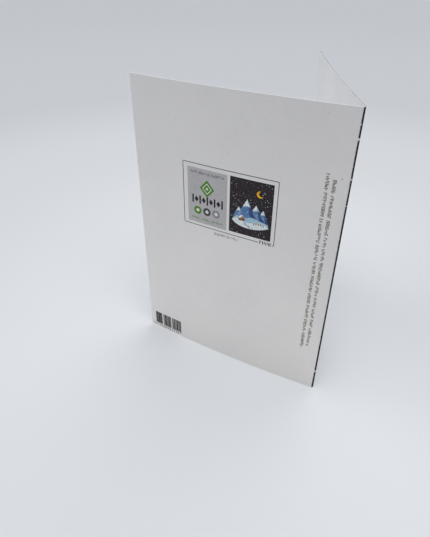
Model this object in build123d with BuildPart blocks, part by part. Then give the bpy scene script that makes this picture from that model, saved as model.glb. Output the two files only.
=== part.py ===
# Greeting card: one sheet of board, creased across its middle and stood open on its bottom edge.
# Seen from above, the two panels leave the crease as shallow arcs. The back panel's chord lies along X,
# with the crease at its +X end, and the front panel stands behind it, towards +Y.
# +Z is up along the crease. The origin is the bottom centre of the whole card.

import os
from math import degrees, radians

from build123d import *

# The flat sheet, before it is creased
sheet_width = 210.0  # free edge to free edge, across the crease
sheet_height = 148.0  # bottom edge to top edge
board_thickness = 0.42

# The way it stands open
fold_opening = 63.7  # degrees between the panels where they leave the crease
back_bow_radius = 685.0  # the back panel bulges outwards, so its outer face is the long way round
front_bow_radius = 1020.0  # the front panel is hollow outside, so its free edge flares outwards

# The crease, pressed along the outside with a rounded rule before the sheet was folded
crease_inner_radius = 0.38  # bend of the board on the inside of the fold
score_depth = 0.10  # groove that the rule left along the outside of the fold
score_lip_radius = 0.20  # soft shoulder where the groove runs out into each panel
bead_height = 0.20  # ridge of crushed board along the inside, above the line between its feet
bead_foot_radius = 0.12  # where the ridge runs out into each panel

# The crease takes its own length of board, and each panel has half of what remains
bend = 180 - fold_opening
crease_length = radians(bend) * (crease_inner_radius + board_thickness / 2)
panel_run = (sheet_width - crease_length) / 2
back_turn = degrees(panel_run / back_bow_radius)
front_turn = degrees(panel_run / front_bow_radius)

# Outward normal of the back panel at the crease, half the panel's turn off -Y, so that its chord lies along X
crease_start = back_turn / 2 - 90

# Section of the board in plan, drawn about the centre of the crease's bend
with BuildSketch() as section:
    with BuildLine():
        inner_bend = CenterArc((0, 0), crease_inner_radius, crease_start, bend, mode=Mode.PRIVATE)
        outer_bend = CenterArc((0, 0), crease_inner_radius + board_thickness, crease_start, bend)
        back_heading = (outer_bend % 0) * -1
        front_heading = outer_bend % 1

        # Both faces of a panel are arcs about one centre
        back_outside = JernArc(outer_bend @ 0, back_heading, back_bow_radius, -back_turn)
        back_inside = JernArc(inner_bend @ 0, back_heading, back_bow_radius - board_thickness, -back_turn)
        front_outside = JernArc(outer_bend @ 1, front_heading, front_bow_radius, -front_turn)
        front_inside = JernArc(inner_bend @ 1, front_heading, front_bow_radius + board_thickness, -front_turn)

        # The free edges are cut square to the board
        Line(back_outside @ 1, back_inside @ 1)
        Line(front_outside @ 1, front_inside @ 1)

        # The bead fills the inside of the bend, from the foot of one panel to the foot of the other
        SagittaArc(inner_bend @ 0, inner_bend @ 1, bead_height)
    make_face()

    # The groove follows the outside of the bend. Its lips are the corners next in from the free edges
    SlotArc(outer_bend, 2 * score_depth, mode=Mode.SUBTRACT)
    groove_lips = section.vertices().sort_by_distance((0, 0))[4:6]
    fillet(groove_lips, radius=score_lip_radius)

    # The bead's feet are the corners nearest the centre of the bend
    bead_feet = section.vertices().sort_by_distance((0, 0))[:2]
    fillet(bead_feet, radius=bead_foot_radius)

# The section is moved so that the finished card is centred on the origin, then raised to its full height
middle = section.sketch.bounding_box().center()
with BuildPart() as folded_card:
    with BuildSketch(Plane((-middle.X, -middle.Y, 0))):
        add(section.sketch)
    extrude(amount=sheet_height)

folded_card.part.label = "folded_card"
os.makedirs("parts", exist_ok=True)
export_step(folded_card.part, "parts/folded_card.step")
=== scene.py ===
# Greeting card: one sheet of recycled board, creased down its middle and stood open
# Lengths in the dictionaries are millimetres, and colours are 0 to 255 as on a screen

import math
import random
from bisect import bisect_right

import bmesh
import bpy
from mathutils import Euler, Matrix, Vector
from mathutils.geometry import delaunay_2d_cdt


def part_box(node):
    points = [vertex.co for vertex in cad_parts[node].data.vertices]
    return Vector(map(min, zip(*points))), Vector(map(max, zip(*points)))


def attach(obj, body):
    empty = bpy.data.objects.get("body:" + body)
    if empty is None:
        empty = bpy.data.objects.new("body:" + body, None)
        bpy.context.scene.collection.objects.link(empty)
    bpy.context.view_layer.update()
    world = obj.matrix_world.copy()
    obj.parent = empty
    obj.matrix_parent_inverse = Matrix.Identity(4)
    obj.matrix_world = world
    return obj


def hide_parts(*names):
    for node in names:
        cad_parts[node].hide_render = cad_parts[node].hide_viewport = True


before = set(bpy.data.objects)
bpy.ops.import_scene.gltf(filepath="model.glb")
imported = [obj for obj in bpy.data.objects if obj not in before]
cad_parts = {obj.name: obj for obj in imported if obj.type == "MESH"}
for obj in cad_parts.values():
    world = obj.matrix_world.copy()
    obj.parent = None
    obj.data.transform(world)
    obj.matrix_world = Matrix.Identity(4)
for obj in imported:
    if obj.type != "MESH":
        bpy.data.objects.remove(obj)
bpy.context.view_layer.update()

mm = 0.001
samePlace = 0.001 * mm  # points nearer than this are joined


# How the sheet is cut and folded, in the sizes of the solid

boardSheet = {
    "width": 210.0,  # flat, from one free edge to the other
    "height": 148.0,
    "thickness": 0.42,
    "opening": 63.7,  # degrees between the panels where they leave the crease
    "backBow": 685.0,  # the back panel bulges outwards
    "frontBow": 1020.0,  # the front panel is hollow outside
    "insideBend": 0.38,
    "scoreDepth": 0.10,  # groove of the creasing rule, outside
    "scoreLip": 0.20,
    "beadHeight": 0.20,  # ridge of crushed board, inside
    "beadFoot": 0.12,
    "edgeRound": 0.04,  # the knife leaves the edges a touch soft
    "grooveColumns": (10, 3, 4),  # across half its floor, its wall and its lip
    "beadColumns": (8, 9),  # across half the bead and its foot, as many in all as the groove's
    "panelColumns": 48,
    "edgeColumns": 3,
    "rows": 12,
}


# A small round runs from a flat face on to a circle: its turn, and its reach along the face
def roundTurn(height, radius, small):
    return math.pi / 2 + math.asin((height - small) / (radius + small))


def roundReach(height, radius, small):
    return math.sqrt((radius + small) ** 2 - (small - height) ** 2)


def alongArc(start, heading, curve, distance):
    if curve == 0:
        return (start[0] + distance * math.cos(heading), start[1] + distance * math.sin(heading)), heading
    after = heading + curve * distance
    x = start[0] + (math.sin(after) - math.sin(heading)) / curve
    y = start[1] - (math.cos(after) - math.cos(heading)) / curve
    return (x, y), after


# A face is walked from the crease's middle to the free edge, as arcs that meet smoothly
def walkFace(start, heading, arcs):
    route = []
    travelled = 0.0
    for length, curve, columns in arcs:
        route.append({"from": travelled, "length": length, "curve": curve, "columns": columns,
                      "start": start, "heading": heading})
        start, heading = alongArc(start, heading, curve, length)
        travelled += length
    return route


def placeOn(route, distance):
    stretch = route[max(0, bisect_right([s["from"] for s in route], distance) - 1)]
    return alongArc(stretch["start"], stretch["heading"], stretch["curve"], distance - stretch["from"])


def columnDistances(route):
    distances = [0.0]
    for stretch in route:
        step = stretch["length"] / stretch["columns"]
        distances += [stretch["from"] + step * (i + 1) for i in range(stretch["columns"])]
    return distances


def foldedRoutes(sheet):
    thickness, inside, depth = sheet["thickness"], sheet["insideBend"], sheet["scoreDepth"]
    lip, foot, soft = sheet["scoreLip"], sheet["beadFoot"], sheet["edgeRound"]
    floorColumns, wallColumns, lipColumns = sheet["grooveColumns"]
    beadColumns, footColumns = sheet["beadColumns"]
    bend = math.radians(180 - sheet["opening"])
    panelRun = (sheet["width"] - bend * (inside + thickness / 2)) / 2
    outwards = panelRun / sheet["backBow"] / 2 - math.pi / 2 + bend / 2  # out of the crease, in plan
    outX, outY = math.cos(outwards), math.sin(outwards)

    # Groove and its lips, outside
    grooveFloor = inside + thickness - depth
    lipTurn, lipReach = roundTurn(0, depth, lip), roundReach(0, depth, lip)

    # Bead and its feet, inside
    halfChord = inside * math.sin(bend / 2)
    beadRadius = (halfChord ** 2 + sheet["beadHeight"] ** 2) / (2 * sheet["beadHeight"])
    beadTop = inside * math.cos(bend / 2) - sheet["beadHeight"]
    beadMiddle = beadTop + beadRadius
    beadOver = inside - beadMiddle * math.cos(bend / 2)
    footTurn = roundTurn(beadOver, beadRadius, foot)
    footReach = roundReach(beadOver, beadRadius, foot) - beadMiddle * math.sin(bend / 2)

    routes = {}
    for panel, side, outerBow in (("back", -1, sheet["backBow"]), ("front", 1, sheet["frontBow"])):
        heading = outwards + side * math.pi / 2
        innerBow = outerBow + side * thickness
        turn = panelRun / outerBow
        routes[panel, "outer"] = walkFace((outX * grooveFloor, outY * grooveFloor), heading, [
            (grooveFloor * bend / 2, side / grooveFloor, floorColumns),
            (depth * lipTurn, -side / depth, wallColumns),
            (lip * lipTurn, side / lip, lipColumns),
            (outerBow * turn - lipReach - soft, -1 / outerBow, sheet["panelColumns"]),
            (soft * math.pi / 2, side / soft, sheet["edgeColumns"])])
        routes[panel, "inner"] = walkFace((outX * beadTop, outY * beadTop), heading, [
            (beadRadius * (footTurn - bend / 2), -side / beadRadius, beadColumns),
            (foot * footTurn, side / foot, footColumns),
            (innerBow * turn - footReach - soft, -1 / innerBow, sheet["panelColumns"]),
            (soft * math.pi / 2, -side / soft, sheet["edgeColumns"])])
    return routes


routes = foldedRoutes(boardSheet)


# A face from the back panel's free edge to the front's, as places with the way each faces
def faceRow(face):
    outwards = 1 if face == "outer" else -1
    row = []
    for panel, side in (("back", -1), ("front", 1)):
        route = routes[panel, face]
        turned = side * outwards
        places = []
        for distance in columnDistances(route):
            (x, y), heading = placeOn(route, distance)
            places.append((x, y, turned * math.sin(heading), -turned * math.cos(heading)))
        row = places[::-1] if panel == "back" else row + places[1:]
    return row


outerRow, innerRow = faceRow("outer"), faceRow("inner")
cadLow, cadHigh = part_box("folded_card")


def creasePlace(axis):
    places = [p[axis] for p in outerRow + innerRow]
    return (cadLow[axis] + cadHigh[axis]) / 2 - mm * (min(places) + max(places)) / 2


creaseX, creaseY = creasePlace(0), creasePlace(1)


# A spot on the outside of the sheet: along is from the crease, positive on the back panel
def onSheet(along, height, lift):
    panel, side = ("back", -1) if along >= 0 else ("front", 1)
    (x, y), heading = placeOn(routes[panel, "outer"], abs(along))
    x += lift * side * math.sin(heading)
    y -= lift * side * math.cos(heading)
    return Vector((creaseX + x * mm, creaseY + y * mm, cadLow.z + height * mm))


def linear(colour):
    parts = [c / 255 for c in colour]
    return [p / 12.92 if p <= 0.04045 else ((p + 0.055) / 1.055) ** 2.4 for p in parts] + [1.0]


def addObject(name, data):
    made = bpy.data.objects.new(name, data)
    bpy.context.scene.collection.objects.link(made)
    return made


def startMesh(name, points, faces, materials, slots):
    mesh = bpy.data.meshes.new(name)
    mesh.from_pydata(points, [], faces)
    for material in materials:
        mesh.materials.append(material)
    mesh.polygons.foreach_set("material_index", slots)
    mesh.polygons.foreach_set("use_smooth", [True] * len(faces))
    return mesh


# Joins points in one place, so that no face is without an area
def joinPoints(mesh):
    work = bmesh.new()
    work.from_mesh(mesh)
    bmesh.ops.remove_doubles(work, verts=work.verts, dist=samePlace)
    work.to_mesh(mesh)
    work.free()


# Node helpers

def startMaterial(name):
    material = bpy.data.materials.new(name)
    material.use_nodes = True
    tree = material.node_tree
    places = tree.nodes.new("ShaderNodeTexCoord")
    return material, tree, tree.nodes["Principled BSDF"], places.outputs["Object"]


def addNoise(tree, places, scale, detail=2.0, roughness=0.5, distortion=0.0):
    noise = tree.nodes.new("ShaderNodeTexNoise")
    for socket, value in zip(("Scale", "Detail", "Roughness", "Distortion"),
                             (scale, detail, roughness, distortion)):
        noise.inputs[socket].default_value = value
    tree.links.new(places, noise.inputs["Vector"])
    return noise.outputs["Fac"]


# Stretches a value's part from low to high over start to end
def addRange(tree, value, low, high, start=0.0, end=1.0):
    node = tree.nodes.new("ShaderNodeMapRange")
    for socket, limit in zip(("From Min", "From Max", "To Min", "To Max"), (low, high, start, end)):
        node.inputs[socket].default_value = limit
    tree.links.new(value, node.inputs["Value"])
    return node.outputs["Result"]


# A socket takes a colour, a number or what another node gives
def feed(tree, socket, value):
    if isinstance(value, bpy.types.NodeSocket):
        tree.links.new(value, socket)
    else:
        socket.default_value = linear(value) if isinstance(value, tuple) else value


def addMaths(tree, operation, first, second):
    node = tree.nodes.new("ShaderNodeMath")
    node.operation = operation
    feed(tree, node.inputs[0], first)
    feed(tree, node.inputs[1], second)
    return node.outputs["Value"]


def addMix(tree, share, first, second):
    node = tree.nodes.new("ShaderNodeMix")
    node.data_type = "RGBA"
    tree.links.new(share, node.inputs["Factor"])
    feed(tree, node.inputs["A"], first)
    feed(tree, node.inputs["B"], second)
    return node.outputs["Result"]


def addBump(tree, shader, height, strength, distance):
    bump = tree.nodes.new("ShaderNodeBump")
    bump.inputs["Strength"].default_value = strength
    bump.inputs["Distance"].default_value = distance * mm
    tree.links.new(height, bump.inputs["Height"])
    tree.links.new(bump.outputs["Normal"], shader.inputs["Normal"])


# Bare board: soft clouds, a fine mottle, a few curled fibres and an uncoated tooth

bareBoard = {
    "colour": (231, 230, 231),
    "cloudColour": (227, 226, 228),
    "cloudScale": 34,
    "mottleColour": (234, 233, 235),
    "mottleScale": 620,
    "mottleShare": 0.45,
    "fibreColour": (205, 201, 192),
    "fibreScale": 210,
    "fibreSpots": 330,  # scale of the spots where fibres lie
    "fibreShare": 0.55,
    "roughness": 0.88,
    "toothScale": 2600,
    "tooth": 0.010,
    "shine": 0.25,
}

cutEdge = {
    "colour": (236, 236, 235),
    "fibreColour": (219, 219, 217),
    "layerScale": 1900,
    "tuftScale": 260,
    "roughness": 0.95,
    "depth": 0.02,
    "shine": 0.2,
}


def makeBoardMaterial(look):
    material, tree, shader, places = startMaterial("bareBoard")
    clouds = addRange(tree, addNoise(tree, places, look["cloudScale"], 3, 0.55), 0.35, 0.65)
    mottle = addRange(tree, addNoise(tree, places, look["mottleScale"], 4, 0.6), 0.38, 0.66)
    colour = addMix(tree, clouds, look["colour"], look["cloudColour"])
    mottle = addMaths(tree, "MULTIPLY", mottle, look["mottleShare"])
    colour = addMix(tree, mottle, colour, look["mottleColour"])
    # A fibre is where a swirling noise passes its middle value, in scattered spots only
    swirl = addNoise(tree, places, look["fibreScale"], 1.0, 0.4, 1.6)
    offMiddle = addMaths(tree, "ABSOLUTE", addMaths(tree, "SUBTRACT", swirl, 0.5), 0.0)
    threads = addRange(tree, offMiddle, 0.0015, 0.0050, 1.0, 0.0)
    spots = addRange(tree, addNoise(tree, places, look["fibreSpots"], 1.0), 0.62, 0.70)
    fibres = addMaths(tree, "MULTIPLY", addMaths(tree, "MULTIPLY", threads, spots), look["fibreShare"])
    colour = addMix(tree, fibres, colour, look["fibreColour"])
    tree.links.new(colour, shader.inputs["Base Color"])
    grain = addNoise(tree, places, look["toothScale"], 5, 0.62)
    tree.links.new(addRange(tree, grain, 0.3, 0.7, look["roughness"] - 0.05, look["roughness"] + 0.05),
                   shader.inputs["Roughness"])
    shader.inputs["Specular IOR Level"].default_value = look["shine"]
    addBump(tree, shader, grain, 0.55, look["tooth"])
    return material


def makeEdgeMaterial(look):
    material, tree, shader, places = startMaterial("cutEdge")
    # Fine fibre that the knife has torn up in tufts
    layers = addRange(tree, addNoise(tree, places, look["layerScale"], 3, 0.65, 0.4), 0.40, 0.64)
    tufts = addRange(tree, addNoise(tree, places, look["tuftScale"], 2), 0.45, 0.62, 0.35, 1.0)
    colour = addMix(tree, addMaths(tree, "MULTIPLY", layers, tufts), look["colour"], look["fibreColour"])
    tree.links.new(colour, shader.inputs["Base Color"])
    shader.inputs["Roughness"].default_value = look["roughness"]
    shader.inputs["Specular IOR Level"].default_value = look["shine"]
    addBump(tree, shader, layers, 0.7, look["depth"])
    return material


boardMaterial = makeBoardMaterial(bareBoard)
edgeMaterial = makeEdgeMaterial(cutEdge)


# The board itself, as rings round its section from the bottom edge up

def makeBoard(sheet):
    soft, height, rows = sheet["edgeRound"], sheet["height"], sheet["rows"]
    turns = [math.radians(a) for a in (90, 45, 0)]  # round the soft bottom and top edges
    softRows = len(turns) - 1
    levels = [(soft * (1 - math.sin(a)), soft * (1 - math.cos(a)), -a) for a in turns]
    levels += [(soft + (height - 2 * soft) * i / rows, 0.0, 0.0) for i in range(1, rows)]
    levels += [(height - z, inset, -tilt) for z, inset, tilt in levels[softRows::-1]]

    ring = outerRow + innerRow[::-1]
    count, across = len(ring), len(outerRow)
    points, normals, faces, slots = [], [], [], []
    for z, inset, tilt in levels:
        for x, y, nx, ny in ring:
            points.append((creaseX + (x - nx * inset) * mm, creaseY + (y - ny * inset) * mm,
                           cadLow.z + z * mm))
            normals.append((nx * math.cos(tilt), ny * math.cos(tilt), math.sin(tilt)))
    for level in range(len(levels) - 1):
        atRow = level < softRows or level >= len(levels) - 1 - softRows
        for i in range(count):
            j = (i + 1) % count
            a, b = level * count, (level + 1) * count
            faces.append((a + i, a + j, b + j, b + i))
            column = i % across
            atColumn = column < sheet["edgeColumns"] or column >= across - 1 - sheet["edgeColumns"]
            slots.append(1 if atRow or atColumn else 0)  # cut edge or board
    top = (len(levels) - 1) * count
    for i in range(across - 1):
        o0, o1, i1, i0 = i, i + 1, count - 2 - i, count - 1 - i
        faces.append((top + o0, top + o1, top + i1, top + i0))
        faces.append((i0, i1, o1, o0))
        slots += [1, 1]

    mesh = startMesh("foldedBoard", points, faces, [boardMaterial, edgeMaterial], slots)
    mapBoard(mesh, levels)
    mesh.validate()
    mesh.normals_split_custom_set_from_vertices(normals)
    joinPoints(mesh)
    return addObject("foldedBoard", mesh)


# Flat map of the sheet: its outside, its inside above that, and the cut edges in strips

boardMap = {
    "size": 330.0,  # of the square that holds it all
    "margin": 2.0,
    "finest": 0.3,  # columns and rows are at least this wide
    "frontStrip": 4.0,  # where the free edges' strips begin, past the faces
    "backStrip": 8.0,
    "sideWidth": 2.0,
    "topStrip": 2.0,  # the same for the top and bottom edges, above the faces
    "bottomStrip": 8.0,
    "endWidth": 3.0,
}


def mapBoard(mesh, levels):
    size, margin, finest = boardMap["size"], boardMap["margin"], boardMap["finest"]
    across, count = len(outerRow), len(outerRow) + len(innerRow)
    acrossAt, upAt = [margin], [margin]
    for here, there in zip(outerRow, outerRow[1:]):
        acrossAt.append(acrossAt[-1] + max(finest, math.dist(here[:2], there[:2])))
    for lower, upper in zip(levels, levels[1:]):
        upAt.append(upAt[-1] + max(finest, upper[0] - lower[0]))
    blockHeight = upAt[-1] + margin
    layer = mesh.uv_layers.new(name="OFBake")
    sideFaces = (len(levels) - 1) * count
    for index, face in enumerate(mesh.polygons):
        if index < sideFaces:
            level, i = divmod(index, count)
            low, high = upAt[level], upAt[level + 1]
            if i < across - 1:
                left, right = acrossAt[i], acrossAt[i + 1]
            elif i in (across - 1, count - 1):  # the flat of a free edge
                left = acrossAt[-1] + boardMap["frontStrip" if i < across else "backStrip"]
                right = left + boardMap["sideWidth"]
            else:
                left, right = acrossAt[count - 1 - i], acrossAt[count - 2 - i]
                low, high = blockHeight + low, blockHeight + high
        else:
            i, under = divmod(index - sideFaces, 2)
            left, right = acrossAt[i], acrossAt[i + 1]
            low = 2 * blockHeight + boardMap["bottomStrip" if under else "topStrip"]
            high = low + boardMap["endWidth"]
            if under:
                low, high = high, low
        corners = ((left, low), (right, low), (right, high), (left, high))
        for loop, (u, v) in zip(face.loop_indices, corners):
            layer.data[loop].uv = (u / size, v / size)


board = makeBoard(boardSheet)
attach(board, "root")
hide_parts("folded_card")
print("board made:", len(board.data.polygons), "faces")


# Print: shapes drawn on the flat sheet, then laid round the fold as thin films of ink

inkFilm = {
    "top": 0.030,  # over the board
    "under": -0.010,
    "trimmed": -0.19,  # the cover's ink runs this far over the cut top edge, less than a lip's round
    "smallest": 1e-5,  # corners nearer than this are one
    "sharpFrom": 40,  # degrees between faces that meet in a sharp edge
}

# Where the board's columns come along the flat sheet, from the front panel to the back
columnPlaces = [-d for d in columnDistances(routes["front", "outer"])[:0:-1]]
columnPlaces += columnDistances(routes["back", "outer"])


def turnedLeft(outline):
    pairs = zip(outline, outline[1:] + outline[:1])
    area = sum(x0 * y1 - x1 * y0 for (x0, y0), (x1, y1) in pairs)
    return outline if area > 0 else outline[::-1]


# Cuts overlapping shapes into tiles that share their edges, with the last drawn on top
def cutTiles(shapes):
    corners, outlines, columns = [], [], []
    for ink, outline in shapes:
        outlines.append(list(range(len(corners), len(corners) + len(outline))))
        corners += [Vector(p) for p in turnedLeft(list(outline))]
    lowest, highest = min(p.y for p in corners) - 1, max(p.y for p in corners) + 1
    left, right = min(p.x for p in corners), max(p.x for p in corners)
    for along in columnPlaces:
        if left < along < right:
            columns.append((len(corners), len(corners) + 1))
            corners += [Vector((along, lowest)), Vector((along, highest))]
    made = delaunay_2d_cdt(corners, columns, outlines, 1, inkFilm["smallest"])
    places, faces, owners = made[0], made[2], made[5]
    tiles = {}
    for face, owner in zip(faces, owners):
        if owner:
            ink = shapes[max(owner)][0]
            if ink:
                tiles.setdefault(ink, []).append(face)
    return places, tiles


# One closed film, with a slot for each ink that is named, or else for each that is drawn
def makeFilm(name, shapes, inks=None, mapped=False, under=inkFilm["under"]):
    places, tiles = cutTiles(shapes)
    inks = inks or sorted(tiles)
    faces, slots = [], []
    for slot, ink in enumerate(inks):
        faces += tiles[ink]
        slots += [slot] * len(tiles[ink])
    used = sorted({corner for face in faces for corner in face})
    number = {corner: i for i, corner in enumerate(used)}
    faces = [tuple(number[c] for c in face) for face in faces]
    spots = [places[c] for c in used]
    count = len(spots)
    points = [onSheet(*spot, lift) for lift in (inkFilm["top"], under) for spot in spots]
    edgeSlots = {}
    for face, slot in zip(faces, slots):
        for a, b in zip(face, face[1:] + face[:1]):
            edgeSlots[a, b] = slot
    rim = [(a, b) for a, b in edgeSlots if (b, a) not in edgeSlots]
    made = [face[::-1] for face in faces]
    made += [tuple(c + count for c in face) for face in faces]
    made += [(a, b, b + count, a + count) for a, b in rim]
    slots += slots + [edgeSlots[e] for e in rim]
    mesh = startMesh(name, points, made, [inkMaterials[ink] for ink in inks], slots)
    if mapped:
        mapFilm(mesh, spots, rim)
    mesh.validate()
    joinPoints(mesh)
    mesh.set_sharp_from_angle(angle=math.radians(inkFilm["sharpFrom"]))
    film = addObject(name, mesh)
    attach(film, "root")
    print(name, "printed:", len(made), "faces")


# Flat map of a film: its face, a narrow flange for its rim, and a small copy for its underside
def mapFilm(mesh, spots, rim):
    count = len(spots)
    flange, small = 0.04, 0.12
    outward = [Vector((0.0, 0.0)) for s in spots]
    for a, b in rim:
        run = (spots[b] - spots[a]).normalized()
        for corner in (a, b):
            outward[corner] += Vector((run.y, -run.x))
    left, right = min(s.x for s in spots), max(s.x for s in spots)
    low, high = min(s.y for s in spots), max(s.y for s in spots)
    margin = 0.01 * (right - left)
    size = max((right - left) * (1 + small) + 3 * margin, high - low + 2 * margin)
    layer = mesh.uv_layers.new(name="OFBake")
    for face in mesh.polygons:
        corners = list(face.vertices)
        under = all(c >= count for c in corners)
        for loop, corner in zip(face.loop_indices, corners):
            spot = spots[corner % count]
            u, v = right - spot.x, spot.y - low
            if under:
                u, v = (right - left) + 2 * margin + small * u, small * v
            elif corner >= count:
                push = outward[corner - count].normalized() * flange
                u, v = u - push.x, v + push.y
            layer.data[loop].uv = ((u + margin) / size, (v + margin) / size)


# Inks: a wash wanders between two tones as watercolour does, and a plain ink has one

inkTones = {
    "night": ((35, 26, 31), (29, 21, 27)),
    "snow": ((233, 238, 240), (214, 226, 233)),
    "paleBlue": ((170, 200, 220), (146, 184, 212)),
    "skyBlue": ((104, 142, 186), (82, 118, 168)),
    "deepBlue": ((56, 76, 122), (44, 58, 98)),
    "amber": ((247, 196, 46), (238, 166, 30)),
    "orange": ((232, 140, 52), (220, 118, 44)),
    "brown": ((146, 96, 62), (120, 74, 46)),
    "darkBrown": ((86, 54, 38), (70, 44, 34)),
    "greyPanel": ((190, 189, 193), (178, 177, 182)),
    "black": ((32, 29, 31),),
    "charcoal": ((68, 68, 72),),
    "midGrey": ((139, 140, 144),),
    "softGrey": ((115, 115, 119),),
    "leafGreen": ((78, 132, 28),),
    "bronze": ((82, 72, 48),),
    "fleckBrown": ((182, 177, 168),),
}

inkFinish = {
    "washScale": 160,  # of the noise that carries a wash from tone to tone
    "ownScales": {"night": 60, "snow": 90, "greyPanel": 900},
    "toothScale": 2600,
    "tooth": 0.008,
    "roughness": (0.52, 0.68),
    "shine": 0.3,
}


def makeInk(name, tones, look):
    material, tree, shader, places = startMaterial(name + "Ink")
    grain = addNoise(tree, places, look["toothScale"], 4, 0.6)
    colour = tones[0]
    if len(tones) == 2:
        wash = addNoise(tree, places, look["ownScales"].get(name, look["washScale"]), 5, 0.6, 0.6)
        colour = addMix(tree, addRange(tree, wash, 0.36, 0.64), *tones)
    feed(tree, shader.inputs["Base Color"], colour)
    tree.links.new(addRange(tree, grain, 0.3, 0.7, *look["roughness"]), shader.inputs["Roughness"])
    shader.inputs["Specular IOR Level"].default_value = look["shine"]
    addBump(tree, shader, grain, 0.45, look["tooth"])
    return material


inkMaterials = {name: makeInk(name, tones, inkFinish) for name, tones in inkTones.items()}


# Shapes on paper, each outline a list of places in order

def rectangle(left, bottom, width, height):
    right, top = left + width, bottom + height
    return [(left, bottom), (right, bottom), (right, top), (left, top)]


def onCircle(x, y, radius, turn):
    return x + radius * math.cos(turn), y + radius * math.sin(turn)


def disc(x, y, radius, sides=28):
    return [onCircle(x, y, radius, 2 * math.pi * i / sides) for i in range(sides)]


def lozenge(x, y, halfWidth, halfHeight):
    return [(x - halfWidth, y), (x, y - halfHeight), (x + halfWidth, y), (x, y + halfHeight)]


def roundedBox(left, bottom, right, top, radius, steps=5):
    outline = []
    for x, y, start in ((right - radius, bottom + radius, -90), (right - radius, top - radius, 0),
                        (left + radius, top - radius, 90), (left + radius, bottom + radius, 180)):
        outline += [onCircle(x, y, radius, math.radians(start + 90 * i / steps)) for i in range(steps + 1)]
    return outline


# Never quite round
def speck(rng, x, y, radius, sides=7):
    start = rng.uniform(0, 2 * math.pi)
    return [onCircle(x, y, radius * rng.uniform(0.72, 1.18), start + 2 * math.pi * i / sides)
            for i in range(sides)]


# A smooth line through a few chosen places
def smoothLine(places, steps=6):
    ends = [places[0]] + list(places) + [places[-1]]
    line = []
    for p0, p1, p2, p3 in zip(ends, ends[1:], ends[2:], ends[3:]):
        for i in range(steps):
            t = i / steps
            line.append(tuple(0.5 * (2 * b + (c - a) * t + (2 * a - 5 * b + 4 * c - d) * t ** 2
                                     + (3 * b - a - 3 * c + d) * t ** 3)
                              for a, b, c, d in zip(p0, p1, p2, p3)))
    return line + [tuple(places[-1])]


def ribbon(places, widths):
    line = smoothLine(places)
    left, right = [], []
    for i, ((x, y), before, after) in enumerate(zip(line, line[:1] + line, line[1:] + line[-1:])):
        run = Vector((after[0] - before[0], after[1] - before[1])).normalized()
        share = i / (len(line) - 1)
        half = 0.5 * (widths[0] + (widths[1] - widths[0]) * share)
        left.append((x - run.y * half, y + run.x * half))
        right.append((x + run.y * half, y - run.x * half))
    return left + right[::-1]


# The night scene of peaks, a cabin and a thin moon, drawn 105 wide and 148 high

winterScene = {
    "seed": 11,
    "peakSeed": 4,
    "speckArea": ((2.5, 103.0), (2.5, 145.5)),  # from and to, across and up
    "moon": (74.0, 117.0, 8.6, 0.80, 0.46, 24),  # x, y, radius, its bite's size and place, degrees of lean
    "peaks": [  # top x, top y, left foot x, right foot x, foot y
        (24.0, 74.0, 9.0, 44.0, 46.0),
        (84.0, 78.0, 60.0, 98.0, 45.0),
        (66.0, 88.0, 44.0, 88.0, 44.0),
        (44.0, 99.0, 20.0, 70.0, 43.0),
    ],
    "farHill": [(10.0, 42.0), (22.0, 50.0), (38.0, 47.0), (56.0, 52.0), (76.0, 48.0), (97.0, 43.0)],
    "nearHill": [(7.0, 36.0), (20.0, 42.5), (36.0, 39.0), (52.0, 36.0), (70.0, 41.5), (88.0, 40.5),
                 (99.0, 34.0)],
    "ground": [(99.0, 34.0), (86.0, 27.0), (68.0, 22.0), (50.0, 20.0), (30.0, 22.5), (16.0, 28.0),
               (7.0, 36.0)],
    "cabin": (24.0, 38.5),  # lower left corner
    "path": [(36.5, 38.0), (41.0, 35.0), (39.0, 31.0), (48.0, 27.0), (53.0, 21.0)],
    "lampPost": (0.5, 3.4, 1.25, 0.7),  # width, then height, glow and flame as shares of a light's size
    "lights": [(43.5, 36.4, 0.8), (43.0, 31.4, 0.9), (51.5, 28.6, 1.0), (58.5, 24.4, 1.1)],
    "posts": [(62.0, 34.0), (68.0, 35.4), (74.0, 36.2), (80.0, 36.0), (86.0, 34.8)],
    "post": (1.4, 7.2, 0.6),  # width, height and how deep it stands in the snow
    "postCap": (6.8, 1.05),  # height of its middle up a post, and radius
    "rails": (2.0, 4.2),  # heights up a post
    "rail": 0.8,
    "drifts": [(16.0, 33.5, 12.0), (30.0, 28.0, 15.0), (60.0, 29.5, 13.0), (74.0, 28.0, 14.0)],
}

peakForm = {  # shares of a peak's rise, but of its width for where its ridge comes down
    "ridgeFoot": 0.16,
    "flankSway": 0.028,
    "ridgeSway": 0.055,
    "gullies": [(2, -1, "deepBlue"), (3, -1, "paleBlue"), (3, 1, "skyBlue"), (4, 1, "skyBlue")],
    "gullyRun": (0.16, 0.24),
    "gullyLean": (0.62, 0.30, 0.78),  # its foot across, then its inner corner across and down
    "snowTeeth": 0.075,
}


# A disc with a bite taken out of its right
def crescent(x, y, radius, biteRadius, biteShift, lean):
    apart, reach, turn = biteShift * radius, biteRadius * radius, math.radians(lean)
    outer = math.acos((radius ** 2 + apart ** 2 - reach ** 2) / (2 * radius * apart))
    inner = math.acos((reach ** 2 + apart ** 2 - radius ** 2) / (2 * reach * apart))
    outerSteps, innerSteps = 30, 24
    outline = [onCircle(x, y, radius, turn + outer + 2 * (math.pi - outer) * i / outerSteps)
               for i in range(outerSteps + 1)]
    biteX, biteY = onCircle(x, y, apart, turn)
    return outline + [onCircle(biteX, biteY, reach, turn + math.pi + inner - 2 * inner * i / innerSteps)
                      for i in range(1, innerSteps)]


def partWay(start, end, share):
    return start[0] + (end[0] - start[0]) * share, start[1] + (end[1] - start[1]) * share


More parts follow.
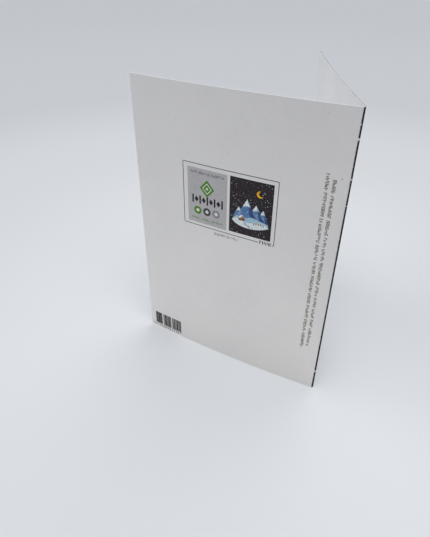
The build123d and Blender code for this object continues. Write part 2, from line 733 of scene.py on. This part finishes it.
def jagged(rng, start, end, parts, sway):
    across = Vector((start[1] - end[1], end[0] - start[0])).normalized()
    line = [start]
    for i in range(1, parts):
        x, y = partWay(start, end, i / parts)
        off = rng.uniform(-sway, sway) * min(1.0, 3 * i / parts)  # a peak's lines part before they wander
        line.append((x + across.x * off, y + across.y * off))
    return line + [end]


# Teeth from place to place, for the lower edge of a peak's snow
def ragged(rng, start, end, teeth, depth):
    line = [start]
    for i in range(1, 2 * teeth):
        share = i / (2 * teeth)
        x, y = partWay(start, end, share)
        drop = depth * rng.uniform(0.5, 1.0) * (1 if i % 2 else -0.5)
        line.append((x, y - drop * min(1.0, 4 * share, 4 - 4 * share)))
    return line + [end]


def drawPeak(rng, form, topX, topY, leftX, rightX, footY):
    top = (topX, topY)
    rise = topY - footY
    foot = (topX + form["ridgeFoot"] * (rightX - leftX) * rng.uniform(0.6, 1.2), footY)
    left = jagged(rng, top, (leftX, footY), 8, form["flankSway"] * rise)
    right = jagged(rng, top, (rightX, footY), 8, form["flankSway"] * rise)
    ridge = jagged(rng, top, foot, 6, form["ridgeSway"] * rise)
    shapes = [("skyBlue", left + ridge[:0:-1]), ("deepBlue", ridge + right[:0:-1])]
    # Gullies run down from places on the ridge, to its left (-1) and right (1)
    footAcross, innerAcross, innerDown = form["gullyLean"]
    for start, lean, ink in form["gullies"]:
        x, y = ridge[start]
        run = rise * rng.uniform(*form["gullyRun"])
        shapes.append((ink, [(x, y), (x + lean * run * footAcross, y - run),
                             (x + lean * run * innerAcross, y - run * innerDown)]))
    # Snow lies down to the flanks' third places, in teeth that meet at the ridge's second
    teeth = form["snowTeeth"] * rise
    lowerLeft = ragged(rng, left[3], ridge[2], 3, teeth)
    lowerRight = ragged(rng, ridge[2], right[3], 3, teeth)
    return shapes + [("snow", left[:3] + lowerLeft + ridge[1:0:-1]),
                     ("paleBlue", ridge[:2] + lowerRight + right[2:0:-1])]


cabinShapes = [  # about the cabin's lower left corner
    ("darkBrown", [(0.0, 0.0), (5.2, -1.0), (5.2, 6.2), (0.0, 6.4)]),  # side wall
    ("brown", [(5.2, -1.0), (15.4, 0.0), (15.4, 6.6), (10.3, 12.2), (5.2, 6.2)]),  # gable wall
    ("darkBrown", rectangle(1.9, 8.6, 2.4, 6.0)),  # chimney
    ("snow", rectangle(1.6, 14.2, 3.0, 1.1)),
    ("snow", [(-1.4, 5.8), (4.4, 5.4), (10.3, 12.0), (10.3, 14.2), (5.4, 14.4)]),  # roof
    ("paleBlue", [(10.3, 14.2), (10.3, 12.0), (16.6, 5.4), (17.2, 6.7)]),
    ("amber", rectangle(7.0, 2.7, 2.5, 2.9)),  # windows and door
    ("amber", rectangle(9.4, 7.2, 1.8, 1.8)),
    ("darkBrown", rectangle(11.3, -0.3, 2.5, 5.0)),
    ("orange", rectangle(1.6, 2.2, 1.9, 2.3)),
    ("darkBrown", rectangle(8.05, 2.7, 0.35, 2.9)),
    ("darkBrown", rectangle(7.0, 4.0, 2.5, 0.35)),
    ("paleBlue", ribbon([(3.0, 15.6), (1.6, 18.4), (4.0, 21.4), (2.2, 25.0), (4.4, 28.5)], (0.7, 2.0))),
]


def drawWinterScene(scene, specks, smallest):
    rng = random.Random(scene["seed"])
    shapes = []
    for i in range(specks):
        x, y = [rng.uniform(*limits) for limits in scene["speckArea"]]
        radius = smallest * (1 + 2.6 * rng.random() ** 4)
        ink = rng.choice(("snow", "snow", "paleBlue", "snow"))
        shapes.append((ink, speck(rng, x, y, radius)))
    shapes.append(("amber", crescent(*scene["moon"])))
    peakRng = random.Random(scene["peakSeed"])
    for peak in scene["peaks"]:
        shapes += drawPeak(peakRng, peakForm, *peak)
    ground = smoothLine(scene["ground"])[1:-1]
    shapes += [("paleBlue", smoothLine(scene["farHill"]) + ground),
               ("snow", smoothLine(scene["nearHill"]) + ground)]
    x, y = scene["cabin"]
    shapes += [(ink, [(x + u, y + v) for u, v in outline]) for ink, outline in cabinShapes]
    shapes.append(("paleBlue", ribbon(scene["path"], (1.6, 5.2))))
    posts, rail = scene["posts"], scene["rail"]
    for (x0, y0), (x1, y1) in zip(posts, posts[1:]):
        for up in scene["rails"]:
            shapes.append(("brown", [(x0, y0 + up), (x1, y1 + up), (x1, y1 + up + rail),
                                     (x0, y0 + up + rail)]))
    wide, tall, sunk = scene["post"]
    capUp, capRadius = scene["postCap"]
    for x, y in posts:
        shapes += [("darkBrown", rectangle(x - wide / 2, y - sunk, wide, tall)),
                   ("snow", disc(x, y + capUp, capRadius, 12))]
    wide, tall, glow, flame = scene["lampPost"]
    for x, y, size in scene["lights"]:
        shapes += [("darkBrown", rectangle(x - wide / 2, y - tall * size, wide, tall * size)),
                   ("orange", disc(x, y, size * glow, 16)), ("amber", disc(x, y, size * flame, 12))]
    for x, y, run in scene["drifts"]:
        drift = [(x, y), (x + run * 0.5, y + 1.1), (x + run, y - 0.2)]
        shapes.append(("paleBlue", ribbon(drift, (0.3, 1.0))))
    return shapes


# A drawing is placed by its left edge, counted from the crease, and by its scale
def placed(shapes, left, bottom, scaleX, scaleY):
    return [(ink, [(left - x * scaleX, bottom + y * scaleY) for x, y in outline])
            for ink, outline in shapes]


# Front cover: printed over its edges and a little way round the fold

frontCover = {
    "specks": 250,
    "smallestSpeck": 0.17,
    # Height, and how far round the fold the ink comes there
    "overFold": [(148.0, 0.58), (120.0, 0.58), (90.0, 0.64), (60.0, 0.61), (30.0, 0.70), (0.0, 0.82)],
    "steps": 14,  # between two of those places
    "wander": 0.025,
    "overTop": 0.002,
    "pastInk": 1.2,  # past the ink's edge, where nicks are cut in from
    "nickFrom": 1.05,
    "nicks": [  # height, how tall, and how far in the ink has gone
        (141.8, 1.2, 0.75), (136.3, 1.4, 1.30), (120.3, 1.0, 1.20), (108.8, 0.9, 0.9), (62.7, 1.0, 0.6),
        (12.5, 1.3, 1.30), (88.4, 0.6, 0.45), (33.6, 0.6, 0.45)],
    "cracks": 34,
    # A hair crack's limits: place from the crease, height, length, width, lean
    "crack": [(-0.55, 0.45), (3.0, 145.0), (0.3, 1.4), (0.02, 0.05), (-0.12, 0.12)],
    "seed": 5,
}


def printCover(cover):
    soft = boardSheet["edgeRound"]
    top = boardSheet["height"] + cover["overTop"]
    steps, wander = cover["steps"], cover["wander"]
    rng = random.Random(cover["seed"])
    overFold = []
    for start, end in zip(cover["overFold"], cover["overFold"][1:]):
        for i in range(steps):
            z, along = partWay(start, end, i / steps)
            overFold.append((along + rng.uniform(-wander, wander), z))
    overFold[0] = (overFold[0][0], top)
    overFold.append((cover["overFold"][-1][1], soft))
    far = columnPlaces[boardSheet["edgeColumns"]]  # where the free edge begins to round
    shapes = [("night", overFold + [(far, soft), (far, top)])]
    scene = drawWinterScene(winterScene, cover["specks"], cover["smallestSpeck"])
    shapes += placed(scene, 0.0, 0.0, 1.0, 1.0)
    # Where the crease has shed its ink, the board shows
    edge = cover["pastInk"]
    for z, tall, reach in cover["nicks"]:
        near = cover["nickFrom"] - reach
        shapes.append((None, [(edge, z - tall * 0.5), (edge, z + tall * 0.45),
                              (near + 0.15, z + tall * 0.3), (near, z), (near + 0.2, z - tall * 0.35)]))
    for i in range(cover["cracks"]):
        along, z, long, wide, lean = [rng.uniform(*limits) for limits in cover["crack"]]
        shapes.append((None, [(along, z), (along + wide, z + long * 0.5), (along + lean, z + long),
                              (along - wide * 0.4, z + long * 0.5)]))
    makeFilm("coverPrint", shapes, mapped=True, under=inkFilm["trimmed"])


printCover(frontCover)


toFold, toFoot, toTop = Vector((-1.0, 0.0)), Vector((0.0, -1.0)), Vector((0.0, 1.0))


# A line of small print is a row of short strokes in groups as long as words, and spells nothing
# Its size: length, height and weight of stroke
def strokeLine(rng, line, onwards=toFold, upwards=toTop):
    length, height, weight = line["size"]
    shapes = []
    travelled = 0.0
    left = rng.randint(*line["inGroup"])
    while travelled < length - height * 0.5:
        if left == 0:
            travelled += height * 0.55
            left = rng.randint(*line["inGroup"])
            continue
        second = height * rng.uniform(0.36, 0.46)
        boxes = [(0.0, weight, rng.choice((0.0, 0.0, 0.3)), rng.choice((1.0, 1.0, 0.7)))]
        if rng.random() < 0.7:
            boxes.append((second, second + weight, rng.choice((0.0, 0.0, 0.45)),
                          rng.choice((1.0, 1.0, 0.55))))
            if rng.random() < 0.6:  # a bar ties the two
                level = rng.choice((0.0, 0.42, 0.83))
                boxes.append((0.0, second + weight, level, level + 0.17))
        base = Vector(line["start"]) + onwards * travelled
        for near, far, low, high in boxes:  # the last two are shares of the height
            corners = ((near, low), (far, low), (far, high), (near, high))
            outline = [tuple(base + onwards * a + upwards * (height * b)) for a, b in corners]
            shapes.append((line["ink"], outline))
        travelled += max(box[1] for box in boxes) + height * rng.uniform(0.18, 0.26)
        left -= 1
    return shapes


# Back panel: a thin frame round a grey panel and a small copy of the cover

backFrame = {
    "outside": (28.95, 81.35, 77.35, 113.45),  # nearest the fold, bottom, farthest, top
    "line": 0.32,
    "corner": 0.6,
    "gap": (30.0, 36.9),  # where a few short strokes stand in for the bottom line
    "past": 0.2,  # the gap is cut this far past the line
    "strokes": {"start": (36.2, 80.9), "size": (6.3, 1.75, 0.40), "inGroup": (9, 9), "ink": "black"},
    "seed": 6,
}


def printFrame(look):
    near, bottom, far, top = look["outside"]
    line, corner, past = look["line"], look["corner"], look["past"]
    start, end = look["gap"]
    shapes = [("charcoal", roundedBox(near, bottom, far, top, corner)),
              (None, roundedBox(near + line, bottom + line, far - line, top - line, corner - line)),
              (None, rectangle(start, bottom - past, end - start, line + 2 * past))]
    shapes += strokeLine(random.Random(look["seed"]), look["strokes"])
    makeFilm("frameLine", shapes)


printFrame(backFrame)

backPicture = {
    "left": 52.2,
    "bottom": 83.4,
    "width": 21.2,
    "height": 28.0,
    "specks": 340,
    "smallestSpeck": 0.30,  # in the drawing's own size, so five times finer on the card
}


def printPicture(look):
    panel, height = boardSheet["width"] / 2, boardSheet["height"]
    scaleX, scaleY = look["width"] / panel, look["height"] / height
    shapes = [("night", rectangle(0.0, 0.0, panel, height))]
    shapes += drawWinterScene(winterScene, look["specks"], look["smallestSpeck"])
    makeFilm("backPicture", placed(shapes, look["left"], look["bottom"], scaleX, scaleY), mapped=True)


printPicture(backPicture)


labelPanel = {
    "outside": (53.6, 83.05, 74.8, 111.3),  # in the frame's order
    "lines": [
        {"start": (73.0, 108.5), "size": (18.0, 1.3, 0.22), "inGroup": (4, 8), "ink": "charcoal"},
        {"start": (72.6, 84.7), "size": (16.9, 1.3, 0.28), "inGroup": (4, 8), "ink": "leafGreen"}],
    "emblem": (64.2, 101.9, 3.9, 4.4),  # lozenge: place, half width, half height
    "emblemRings": [(1.0, "leafGreen"), (0.66, None), (0.52, "leafGreen"), (0.20, None)],
    "ornament": {"left": 72.4, "middle": 95.6, "length": 16.8, "height": 4.3, "bar": 0.9, "times": 4,
                 "lozenge": (0.38, 0.36)},  # shares of the room between bars and of their height
    "discs": [(69.35, 89.8, "leafGreen"), (64.25, 89.9, "charcoal"), (59.25, 90.0, "midGrey")],
    "discRadius": 2.1,
    "discMark": 1.1,
    "seed": 3,
}


def printLabel(look):
    rng = random.Random(look["seed"])
    near, bottom, far, top = look["outside"]
    shapes = [("greyPanel", rectangle(near, bottom, far - near, top - bottom))]
    for line in look["lines"]:
        shapes += strokeLine(rng, line)
    x, y, halfWidth, halfHeight = look["emblem"]
    for share, ink in look["emblemRings"]:
        shapes.append((ink, lozenge(x, y, halfWidth * share, halfHeight * share)))
    # A row of bars and lozenges by turns
    row = look["ornament"]
    bar, tall = row["bar"], row["height"]
    apart = (row["length"] - bar) / row["times"]
    room = apart - bar
    acrossShare, upShare = row["lozenge"]
    for i in range(row["times"] + 1):
        left = row["left"] - i * apart
        shapes.append(("black", rectangle(left - bar, row["middle"] - tall / 2, bar, tall)))
        if i < row["times"]:
            shapes.append(("black", lozenge(left - bar - room / 2, row["middle"],
                                            room * acrossShare, tall * upShare)))
    mark = look["discMark"]
    for x, y, ink in look["discs"]:
        shapes += [(ink, disc(x, y, look["discRadius"])), (None, lozenge(x, y, mark, mark))]
    makeFilm("greyPanel", shapes, ["greyPanel"], mapped=True)
    makeFilm("greyPanelMarks", shapes, ["black", "charcoal", "leafGreen", "midGrey"])


printLabel(labelPanel)

smallPrint = {
    "besideFold": [
        {"start": (7.15, 119.0), "size": (91.2, 1.5, 0.30), "inGroup": (5, 11), "ink": "bronze"},
        {"start": (10.1, 121.2), "size": (95.3, 1.5, 0.30), "inGroup": (5, 11), "ink": "bronze"}],
    "underFrame": {"start": (60.1, 78.8), "size": (13.4, 1.25, 0.2), "inGroup": (5, 7), "ink": "softGrey"},
    "seed": 8,
}


def printSmallPrint(look):
    rng = random.Random(look["seed"])
    shapes = []
    for line in look["besideFold"]:  # run down, with their strokes up towards the fold
        shapes += strokeLine(rng, line, toFoot, toFold)
    makeFilm("foldSidePrint", shapes)
    makeFilm("underFramePrint", strokeLine(rng, look["underFrame"]))


printSmallPrint(smallPrint)

barBlock = {
    "groups": [(101.6, 96.9), (95.9, 90.1), (89.2, 82.9)],
    "bottom": 2.8,
    "top": 11.4,
    "bars": (0.22, 1.10),  # narrowest and widest
    "gaps": (0.10, 0.34),
    "tick": (1.0, 1.2),  # bottom and height
    "ticks": (103.4, 84.2, 1.52),  # first, last and how far apart
    "tickWidths": (0.36, 0.50, 0.64),
    "longBar": (83.3, 0.35, 1.6),  # start, width and bottom of a bar that runs down past the rest
    "seed": 48,
}


def printBars(look):
    rng = random.Random(look["seed"])
    bottom, top = look["bottom"], look["top"]
    boxes = []
    for along, end in look["groups"]:
        while along - end > look["bars"][0]:
            wide = min(rng.uniform(*look["bars"]), along - end)
            boxes.append((along - wide, bottom, wide, top - bottom))
            along -= wide + rng.uniform(*look["gaps"])
    start, wide, low = look["longBar"]
    boxes.append((start - wide, low, wide, top - low))
    along, last, apart = look["ticks"]
    low, tall = look["tick"]
    while along > last:
        wide = rng.choice(look["tickWidths"])
        boxes.append((along - wide, low, wide, tall))
        along -= apart
    makeFilm("barBlock", [("black", rectangle(*box)) for box in boxes])


printBars(barBlock)

# Dark flecks of recycled fibre on the back panel: place from the fold, height and size
boardFlecks = {
    "spots": [(53.6, 121.0, 0.26), (12.9, 144.4, 0.19), (3.7, 119.9, 0.38), (10.7, 146.0, 0.15),
              (81.0, 55.3, 0.14), (33.4, 31.8, 0.15)],
    "seed": 2,
}


def printFlecks(look):
    rng = random.Random(look["seed"])
    makeFilm("boardFlecks", [("fleckBrown", speck(rng, *spot)) for spot in look["spots"]])


printFlecks(boardFlecks)


# Studio: a pale floor with a painted pool of light and painted shade, under an overcast of soft light

studio = {
    "floorRings": (0.3, 1.0, 2.5, 6.0),  # radii in metres
    "floorSides": 96,
    # Metres from the middle, and the tone there as it is seen and as it lights the card. Both are painted
    # light: a pool of light brighter near the card that fades outwards. The tone that lights the card also
    # has painted shade at the card's foot and a much darker floor farther out
    "seenToneWithPaintedLightPool": [(0.08, (220, 223, 225)), (0.30, (209, 212, 214)), (0.55, (196, 199, 202)),
                  (1.60, (191, 194, 197))],
    "bounceToneWithPaintedPoolAndFootShade": [(0.06, (184, 184, 178)), (0.115, (235, 235, 227)), (0.28, (183, 185, 183)),
                    (0.55, (102, 105, 109)), (1.60, (86, 88, 91))],
    "skyColour": (240, 246, 255),
    "skyStrength": 0.02,
    "backdrop": (194, 198, 203),  # what the camera sees past the floor
    "lamps": [  # name, degrees round from the front, degrees up, degrees across, strength, colour
        ("leftSoftBox", 280, 10, 40, 1.43, (246, 252, 255)),
        ("frontLeftSoftBox", 320, 30, 40, 0.47, (252, 252, 255)),
        ("frontSoftBox", 30, 60, 50, 1.58, (252, 252, 255)),
        ("rightSoftBox", 90, 45, 50, 0.54, (252, 252, 255)),
        ("backSoftBox", 180, 60, 50, 1.19, (252, 252, 255))],
}


def addFade(tree, distance, tones):
    farthest = tones[-1][0]
    fade = tree.nodes.new("ShaderNodeValToRGB")
    fade.color_ramp.interpolation = "EASE"
    tree.links.new(addRange(tree, distance, 0.0, farthest), fade.inputs["Fac"])
    stops = fade.color_ramp.elements
    while len(stops) < len(tones):
        stops.new(0.5)
    for stop, (reach, tone) in zip(stops, tones):
        stop.position = reach / farthest
        stop.color = linear(tone)
    return fade.outputs["Color"]


# Rays that see the floor and backdrop as drawn: the camera's, and those off gloss or through glass
def seeingRays(tree):
    path = tree.nodes.new("ShaderNodeLightPath")
    rays = path.outputs["Is Camera Ray"]
    for kind in ("Is Glossy Ray", "Is Transmission Ray"):
        rays = addMaths(tree, "MAXIMUM", rays, path.outputs[kind])
    return rays


def makeFloor(look):
    mesh = bpy.data.meshes.new("floor")
    sides, radii = look["floorSides"], look["floorRings"]
    points = [(0.0, 0.0, cadLow.z)]
    for radius in radii:
        points += [(x, y, cadLow.z) for x, y in disc(0.0, 0.0, radius, sides)]
    faces = [(0, 1 + i, 1 + (i + 1) % sides) for i in range(sides)]
    for ring in range(len(radii) - 1):
        a, b = 1 + ring * sides, 1 + (ring + 1) * sides
        faces += [(a + i, b + i, b + (i + 1) % sides, a + (i + 1) % sides) for i in range(sides)]
    mesh.from_pydata(points, [], faces)
    material, tree, shader, places = startMaterial("floorPaperPaintedLight")
    length = tree.nodes.new("ShaderNodeVectorMath")
    length.operation = "LENGTH"
    tree.links.new(places, length.inputs[0])
    # The floor's colour is painted light: a pool of light round the card as seen. What lights the card
    # adds painted shade at its foot and darker floor farther out
    seen = addFade(tree, length.outputs["Value"], look["seenToneWithPaintedLightPool"])
    paintedBounceLight = addFade(tree, length.outputs["Value"], look["bounceToneWithPaintedPoolAndFootShade"])
    tree.links.new(addMix(tree, seeingRays(tree), paintedBounceLight, seen), shader.inputs["Base Color"])
    shader.inputs["Roughness"].default_value = 0.9
    shader.inputs["Specular IOR Level"].default_value = 0.0
    mesh.materials.append(material)
    addObject("floor", mesh)


def makeLights(look):
    world = bpy.data.worlds.new("softSky")
    world.use_nodes = True
    tree = world.node_tree
    sky = tree.nodes["Background"]
    sky.inputs["Color"].default_value = linear(look["skyColour"])
    sky.inputs["Strength"].default_value = look["skyStrength"]
    backdrop = tree.nodes.new("ShaderNodeBackground")
    backdrop.inputs["Color"].default_value = linear(look["backdrop"])
    seen = tree.nodes.new("ShaderNodeMixShader")
    tree.links.new(seeingRays(tree), seen.inputs["Fac"])
    tree.links.new(sky.outputs["Background"], seen.inputs[1])
    tree.links.new(backdrop.outputs["Background"], seen.inputs[2])
    tree.links.new(seen.outputs["Shader"], tree.nodes["World Output"].inputs["Surface"])
    bpy.context.scene.world = world
    for name, around, up, across, strength, colour in look["lamps"]:
        lamp = bpy.data.lights.new(name, "SUN")
        lamp.energy = strength
        lamp.angle = math.radians(across)
        lamp.color = linear(colour)[:3]
        turn, rise = math.radians(around), math.radians(up)
        level = math.cos(rise)
        towards = Vector((math.sin(turn) * level, -math.cos(turn) * level, math.sin(rise)))
        addObject(name, lamp).rotation_euler = towards.to_track_quat("Z", "Y").to_euler()


makeFloor(studio)
makeLights(studio)
print("floor and lights set")


viewPoint = {
    "place": (87.93, -217.39, 195.51),
    "turn": 29.22,  # degrees left of straight ahead
    "tilt": 35.15,  # degrees down
    "roll": 0.43,
    "lens": 31.08,
    "sensor": 36.0,
    "sees": (0.005, 50.0),  # nearest and farthest, in metres
}


def makeCamera(look):
    camera = bpy.data.cameras.new("viewPoint")
    camera.sensor_width = look["sensor"]
    camera.lens = look["lens"]
    camera.clip_start, camera.clip_end = look["sees"]
    holder = addObject("viewPoint", camera)
    aim = Euler((math.radians(90 - look["tilt"]), 0.0, math.radians(look["turn"]))).to_matrix()
    aim = aim @ Matrix.Rotation(math.radians(look["roll"]), 3, "Z")
    holder.matrix_world = Matrix.Translation(Vector(look["place"]) * mm) @ aim.to_4x4()
    bpy.context.scene.camera = holder


makeCamera(viewPoint)
bpy.context.scene.view_settings.view_transform = "Standard"
print("camera set")

bpy.context.view_layer.update()
